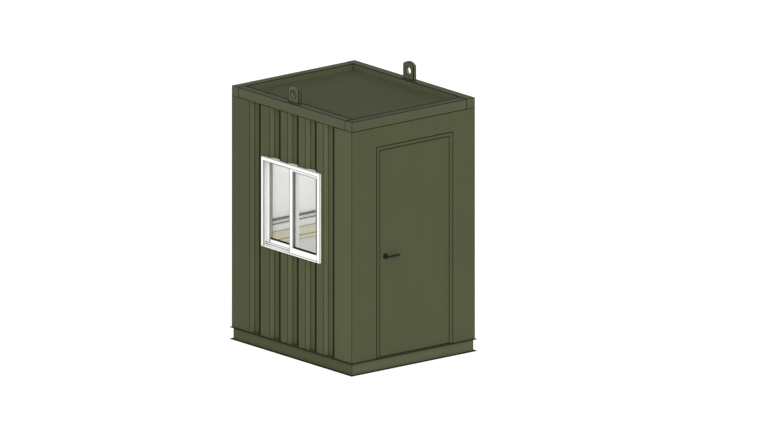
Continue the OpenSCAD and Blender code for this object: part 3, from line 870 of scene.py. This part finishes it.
def bars(name, boxes, opening, strip, back=None, side=None, rib=None):
    """White window plastic, with dirt lines in its corners and a grey strip round its opening, which is
    painted shade.

    rib is the place of the frame's middle rib. A sash has dirt at its foot and painted shadow on a side of a
    width instead, and maybe painted shadow round the back of its opening.
    """
    finish, edge = finish_of(), trim_of().plastic_edge
    plastic = Finish(name, 0.32, 0.4)
    shade = plastic.lighten(finish.plastic, plastic.spread(plastic.noise(5.0, 4.0), 0.985, 1.01))
    lines = [plastic.edges(low, high, width) for low, high, width in boxes]
    grey = sides = near(plastic, beyond_box(plastic, *opening, (1, 2)), 0.0014)
    skin = 0.002
    if rib is not None:
        low, high = boxes[0][:2]
        far_side = at_plane(plastic, 1, high.y, 1.3 * edge)
        lines.append(plastic.times(far_side, at_plane(plastic, 0, low.x, skin)))
        grey = plastic.math("MAXIMUM", sides, jamb_bands(plastic, low, high, rib))
    shade = plastic.mix(plastic.strongest(lines), shade, tuple(finish.plastic_dirt_and_shadow))
    # The strip colour on the opening's sides and the jamb bands is painted shade.
    shade = plastic.mix(grey, shade, tuple(strip))
    # Painted shadow on a side of a sash's opening and round its back, from the gap between the sashes; black
    # rubber at its foot.
    if side is not None:
        height = between(plastic, 2, opening[0].z, opening[1].z)
        shadow_lines = [plastic.times(at_plane(plastic, 1, opening[0].y, side), height)]
        if back is not None:
            shadow_lines.append(plastic.times(sides, at_plane(plastic, 0, back, 0.85 * edge)))
        shade = plastic.mix(plastic.strongest(shadow_lines), shade, tuple(finish.plastic_dirt_and_shadow))
        foot = plastic.times(sides, at_plane(plastic, 2, opening[0].z, skin))
        shade = plastic.mix(foot, shade, tuple(finish.rubber))
    plastic.colour(shade)
    plastic.roughen(24.0, 0.26, 0.4)
    plastic.bump(plastic.noise(300.0, 2.0), 0.0002, 0.15)
    return plastic.material


class BOOTH_OT_finish_lever(bpy.types.Operator):
    """Finishes the levers, roses and spindle"""
    bl_idname = "booth.finish_lever"
    bl_label = "Finish the levers"

    def execute(self, context):
        black = Finish("lever_black", 0.5, 0.12)
        black.two_tone(finish_of().black, 1.6, black.noise(90.0, 4.0))
        black.roughen(60.0, 0.45, 0.58)
        black.bump(black.noise(900.0, 2.0), 0.0002, 0.2)
        dress(LEVER_PARTS, black.material)
        return {"FINISHED"}


def rubber():
    """Black rubber with a faint bloom."""
    name = "seal_rubber"
    if name in bpy.data.materials:
        return bpy.data.materials[name]
    made = Finish(name, 0.7, 0.3)
    made.two_tone(finish_of().rubber, 2.0, made.noise(40.0, 4.0))
    made.roughen(70.0, 0.6, 0.8)
    made.bump(made.noise(700.0, 2.0), 0.0002, 0.2)
    return made.material


class BOOTH_OT_pane_gaskets(bpy.types.Operator):
    """Models the rubber round the panes, on both of their faces"""
    bl_idname = "booth.pane_gaskets"
    bl_label = "Model the pane gaskets"

    def execute(self, context):
        finish, trim = finish_of(), trim_of()
        for pane in PANES:
            low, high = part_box(pane)
            inner_low, inner_high = low + PANE_BITE, high - PANE_BITE
            rings = []
            for x0, x1 in ((low.x - trim.gasket_t, low.x), (high.x, high.x + trim.gasket_t)):
                ring = new_block("ring", (x0, inner_low.y, inner_low.z), (x1, inner_high.y, inner_high.z))
                cut_through(ring, (1, 0, 0), trim.gasket_w)
                soften(ring, 0.001)
                rings.append(ring)
            # The gasket is grey, painted shade of the reveal, and black rubber along its foot and, on the
            # outer pane, along its far side.
            strip = Finish(f"{pane}_strip", 0.7, 0.2)
            dark = at_plane(strip, 2, inner_low.z, 1.6 * trim.gasket_w)
            if pane == "outer_pane":
                dark = strip.math("MAXIMUM", dark, at_plane(strip, 1, inner_high.y, 1.1 * trim.gasket_w))
            grey = strip.lighten(finish.reveal, strip.spread(strip.noise(30.0), 0.62, 0.72))
            strip.colour(strip.mix(dark, grey, tuple(finish.rubber)))
            strip.roughen(70.0, 0.6, 0.8)
            hand_over(joined(rings, f"{pane}_gasket"), "booth", strip.material)
        return {"FINISHED"}


class BOOTH_OT_door_seals(bpy.types.Operator):
    """Models the rubber behind the door frame's lip and under the leaf"""
    bl_idname = "booth.door_seals"
    bl_label = "Model the door seals"

    def execute(self, context):
        trim = trim_of()
        low, high = door_frame_boxes()[1]
        leaf_low, leaf_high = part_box("leaf_pan")
        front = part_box("over_door_sheet")[0].y + 0.0006
        back = leaf_low.y - 0.0012
        foot = low.z + 0.001
        left, right, top = low.x + trim.seal_lip, high.x - trim.seal_lip, high.z - trim.seal_lip
        width, rounding = trim.seal_w, 0.0012
        strips = [
            new_block("strip", (left - width, front, foot), (left, back, top)),
            new_block("strip", (right, front, foot), (right + width, back, top)),
            new_block("strip", (left - width, front, top), (right + width, back, top + width)),
        ]
        for strip in strips:
            soften(strip, rounding)
        hand_over(joined(strips, "door_seal"), "booth", rubber())

        inset, near_y, far_y = 0.004, leaf_low.y + 0.006, leaf_low.y + 0.030
        sweep = new_block("door_sweep", (leaf_low.x + inset, near_y, leaf_low.z - trim.sweep_h),
                          (leaf_high.x - inset, far_y, leaf_low.z))
        pick_faces(sweep, (0, 0, -1))
        wall, groove = 0.005, 0.004
        bpy.ops.mesh.inset(thickness=wall, depth=0.0)
        bpy.ops.mesh.extrude_region_move(TRANSFORM_OT_translate={"value": (0, 0, groove)})
        leave_edit()
        soften(sweep, rounding)
        hand_over(sweep, "door", rubber())
        return {"FINISHED"}


class BOOTH_OT_welds(bpy.types.Operator):
    """Models the weld beads of the roof ring, the lugs and the base"""
    bl_idname = "booth.welds"
    bl_label = "Model the welds"

    def execute(self, context):
        trim = trim_of()
        paint = coat("coat_welds", tinted(finish_of().olive, 0.35))
        sink = 0.55 * trim.bead_r
        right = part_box("right_roof_tube")
        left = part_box("left_roof_tube")
        round_edge = 0.006
        right_x, left_x, top = right[0].x, left[0].x, right[1].z
        foot, head = right[0].z + round_edge, top - round_edge
        beads = []
        for y, out in ((right[0].y, 1), (right[1].y, -1)):
            tube_in = y + out * (left[0].y - right[0].y)
            beads += [
                bead((right_x, y, foot), (right_x, y, head), (0, out * sink, 0)),
                bead((right_x, y + out * round_edge, top), (right_x, tube_in, top), (0, 0, -sink)),
                bead((left_x, tube_in, foot), (left_x, tube_in, head), (sink, 0, 0)),
                bead((left_x + round_edge, tube_in, top), (left[1].x, tube_in, top), (0, 0, -sink)),
            ]
        hand_over(joined(beads, "ring_welds"), "booth", paint)

        beads = []
        for name in LUGS:
            low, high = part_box(name)
            for x in (low.x, high.x):
                beads.append(bead((x, low.y, low.z), (x, high.y, low.z), (0, 0, 0)))
            for y in (low.y, high.y):
                beads.append(bead((low.x, y, low.z), (high.x, y, low.z), (0, 0, 0)))
        hand_over(joined(beads, "lug_welds"), "booth", paint)

        low, high = whole_box(BASE_BEAMS)
        inset, flange = 0.0263, 0.014
        beads = []
        for x in (low.x + inset, high.x - inset):
            for y in (low.y + inset, high.y - inset):
                beads.append(bead((x, y, low.z + flange), (x, y, high.z - flange), (0, 0, 0)))
        hand_over(joined(beads, "base_welds"), "booth", paint)
        return {"FINISHED"}


def screw_head(place, facing):
    """A low round screw head with a round recess, on a face that looks along an axis."""
    trim = trim_of()
    clear_selection()
    facing = Vector(facing)
    turn = facing.to_track_quat("Z", "Y").to_euler()
    bpy.ops.mesh.primitive_cylinder_add(vertices=20, radius=trim.screw_r, depth=trim.screw_t,
                                        location=Vector(place) + facing * trim.screw_t / 2, rotation=turn)
    head = bpy.context.object
    bpy.ops.object.transform_apply(location=True, rotation=True, scale=True)
    pick_faces(head, facing)
    bpy.ops.mesh.inset(thickness=trim.screw_r * 0.35, depth=0.0)
    bpy.ops.mesh.inset(thickness=trim.screw_r * 0.25, depth=-trim.screw_t * 0.6)
    leave_edit()
    soften(head, trim.screw_t * 0.25, 1)
    return head


def hinge_places(node):
    """Lowest and highest point of each hinge in a node, from the bottom up."""
    heights = sorted({round(v.co.z, 4) for v in frame["nodes"][node].data.vertices})
    apart = 0.2
    groups, current = [], [heights[0]]
    for z in heights[1:]:
        if z - current[-1] > apart:
            groups.append(current)
            current = []
        current.append(z)
    groups.append(current)
    return [(g[0], g[-1]) for g in groups]


class BOOTH_OT_hinge_screws(bpy.types.Operator):
    """Models the screws of the door hinges"""
    bl_idname = "booth.hinge_screws"
    bl_label = "Model the hinge screws"

    def execute(self, context):
        steel = Finish("screw_steel", 0.35, 0.5, 1.0)
        steel.two_tone(finish_of().steel, 0.7, steel.noise(200.0))
        steel.roughen(150.0, 0.28, 0.45)
        steps = (0.2, 0.5, 0.8)
        barrel, flap, margin = 0.050, 0.003, 0.008
        x, y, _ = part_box("frame_hinges")[1]
        heads = [screw_head((x - flap, y - margin, foot + step * barrel), (-1, 0, 0))
                 for foot, _ in hinge_places("frame_hinges") for step in steps]
        hand_over(joined(heads, "frame_hinge_screws"), "booth", steel.material)

        x, y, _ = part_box("leaf_hinges")[0]
        heads = [screw_head((x + margin, y + flap, foot + step * (top - foot)), (0, 1, 0))
                 for foot, top in hinge_places("leaf_hinges") for step in steps]
        hand_over(joined(heads, "leaf_hinge_screws"), "door", steel.material)
        return {"FINISHED"}


def add_lamp(name, kind, power, place, **settings):
    """A light that the camera doesn't see."""
    light = bpy.data.lights.new(name, kind)
    light.energy = power
    for key, value in settings.items():
        setattr(light, key, value)
    lamp = bpy.data.objects.new(name, light)
    lamp.location = place
    lamp.visible_camera = False
    bpy.context.scene.collection.objects.link(lamp)
    return lamp


class BOOTH_OT_stage(bpy.types.Operator):
    """Sets the floor, the soft light and the camera"""
    bl_idname = "booth.stage"
    bl_label = "Set the stage"

    def execute(self, context):
        scene, stage = context.scene, stage_of()
        scene.view_settings.view_transform = "Standard"
        scene.view_settings.look = "None"

        clear_selection()
        bpy.ops.mesh.primitive_plane_add(size=120.0, location=(0, 0, 0))
        floor = context.object
        floor.name = floor.data.name = "studio_floor"
        pale = Finish("studio_pale", 0.9, 0.0)
        white = (1.0, 1.0, 1.0, 1.0)
        pale.colour(pale.lighten(stage.floor, pale.spread(pale.noise(0.7), 0.995, 1.005)))
        pale.shader.inputs["Emission Color"].default_value = white
        pale.shader.inputs["Emission Strength"].default_value = stage.glow
        floor.data.materials.append(pale.material)

        world = bpy.data.worlds.new("studio_light")
        scene.world = world
        world.use_nodes = True
        nodes, links = world.node_tree.nodes, world.node_tree.links
        height = nodes.new("ShaderNodeSeparateXYZ")
        links.new(nodes.new("ShaderNodeTexCoord").outputs["Generated"], height.inputs[0])
        dim = nodes.new("ShaderNodeMapRange")
        links.new(height.outputs["Z"], dim.inputs["Value"])
        dim.inputs["To Min"].default_value = stage.sky
        dim.inputs["To Max"].default_value = stage.zenith
        links.new(dim.outputs["Result"], nodes["Background"].inputs["Strength"])
        nodes["Background"].inputs["Color"].default_value = white

        key = add_lamp("key", "SUN", stage.key, (0, 0, 0), angle=math.radians(60))
        key_from = Vector((-0.55, -0.65, 0.52))
        key.rotation_euler = key_from.to_track_quat("Z", "Y").to_euler()
        under_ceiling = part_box("ceiling")[0].z - 0.02
        add_lamp("room", "AREA", stage.room, (0, 0, under_ceiling), shape="RECTANGLE", size=1.0, size_y=1.3)
        globe = 0.25
        add_lamp("fill", "POINT", stage.fill, (0, -0.2, 0.55), shadow_soft_size=globe)
        add_lamp("middle", "POINT", stage.middle, (0.2, -0.3, 1.15), shadow_soft_size=globe)

        turn, rise = stage.azimuth, stage.elevation
        level = math.cos(rise)
        back = Vector((-math.sin(turn) * level, -math.cos(turn) * level, math.sin(rise)))
        camera = bpy.data.cameras.new("view")
        camera.type = "ORTHO"
        camera.ortho_scale = stage.width
        camera.clip_end = 200.0
        eye = bpy.data.objects.new("view", camera)
        eye.location = Vector(stage.target) + back * stage.distance
        eye.rotation_euler = back.to_track_quat("Z", "Y").to_euler()
        scene.collection.objects.link(eye)
        scene.camera = eye
        return {"FINISHED"}


STEPS = [BOOTH_OT_coat_shell, BOOTH_OT_finish_room, BOOTH_OT_finish_window, BOOTH_OT_finish_lever,
         BOOTH_OT_pane_gaskets, BOOTH_OT_door_seals, BOOTH_OT_welds, BOOTH_OT_hinge_screws, BOOTH_OT_stage]


class BOOTH_PT_steps(bpy.types.Panel):
    """Lists the steps that dress the booth"""
    bl_idname = "BOOTH_PT_steps"
    bl_label = "Guard booth"
    bl_space_type = "VIEW_3D"
    bl_region_type = "UI"
    bl_category = "Guard booth"

    def draw(self, context):
        for step in STEPS:
            self.layout.operator(step.bl_idname)
        for group in (context.scene.booth_finish, context.scene.booth_trim, context.scene.booth_stage):
            column = self.layout.column()
            for name in group.__annotations__:
                column.prop(group, name)


GROUPS = {"booth_finish": BoothFinish, "booth_trim": BoothTrim, "booth_stage": BoothStage}


def register():
    for name, group in GROUPS.items():
        bpy.utils.register_class(group)
        setattr(bpy.types.Scene, name, PointerProperty(type=group))
    for part in STEPS + [BOOTH_PT_steps]:
        bpy.utils.register_class(part)


def unregister():
    for part in reversed(STEPS + [BOOTH_PT_steps]):
        bpy.utils.unregister_class(part)
    for name, group in reversed(list(GROUPS.items())):
        delattr(bpy.types.Scene, name)
        bpy.utils.unregister_class(group)


def main():
    register()
    for step in STEPS:
        area, name = step.bl_idname.split(".")
        getattr(getattr(bpy.ops, area), name)()
    bpy.context.view_layer.update()


if __name__ == "__main__":
    main()
